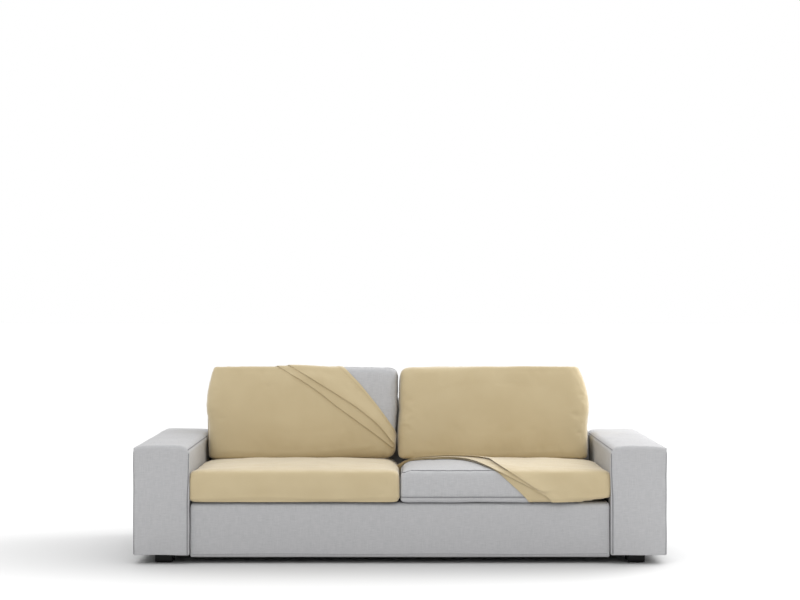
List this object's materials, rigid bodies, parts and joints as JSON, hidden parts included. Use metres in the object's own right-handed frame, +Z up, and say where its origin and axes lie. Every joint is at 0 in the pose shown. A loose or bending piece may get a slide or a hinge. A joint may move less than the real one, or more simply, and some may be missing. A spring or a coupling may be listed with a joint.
{
  "type": "sofa slipcover set on a three-seat sofa",
  "caption": "Fitted stretch slipcovers on the loose cushions of a wide-armed sofa, some fully on and some half pulled on with long folds.",
  "frame": {"origin": "on the floor, under the middle of the bounding box", "axes": "+X across the sofa to the right as seen from its front, +Y from its front to its back, +Z up"},
  "size_m": [2.28, 0.95, 0.828],
  "materials": {
    "cover_cloth": "matt stretch knit, tan",
    "cushion_cloth": "matt flat weave, light grey",
    "frame_cloth": "matt flat weave, light grey",
    "foot": "black stained, satin"
  },
  "bodies": {
    "root": {"seat_cover_left": "cover_cloth", "seat_cover_right": "cover_cloth", "back_cover_left": "cover_cloth", "back_cover_right": "cover_cloth", "seat_cushion_left": "cushion_cloth", "seat_cushion_right": "cushion_cloth", "back_cushion_left": "cushion_cloth", "back_cushion_right": "cushion_cloth", "arm_left": "frame_cloth", "arm_right": "frame_cloth", "seat_base": "frame_cloth", "back_frame": "frame_cloth", "foot_front_left": "foot", "foot_front_right": "foot", "foot_rear_left": "foot", "foot_rear_right": "foot"}
  },
  "joints": []
}
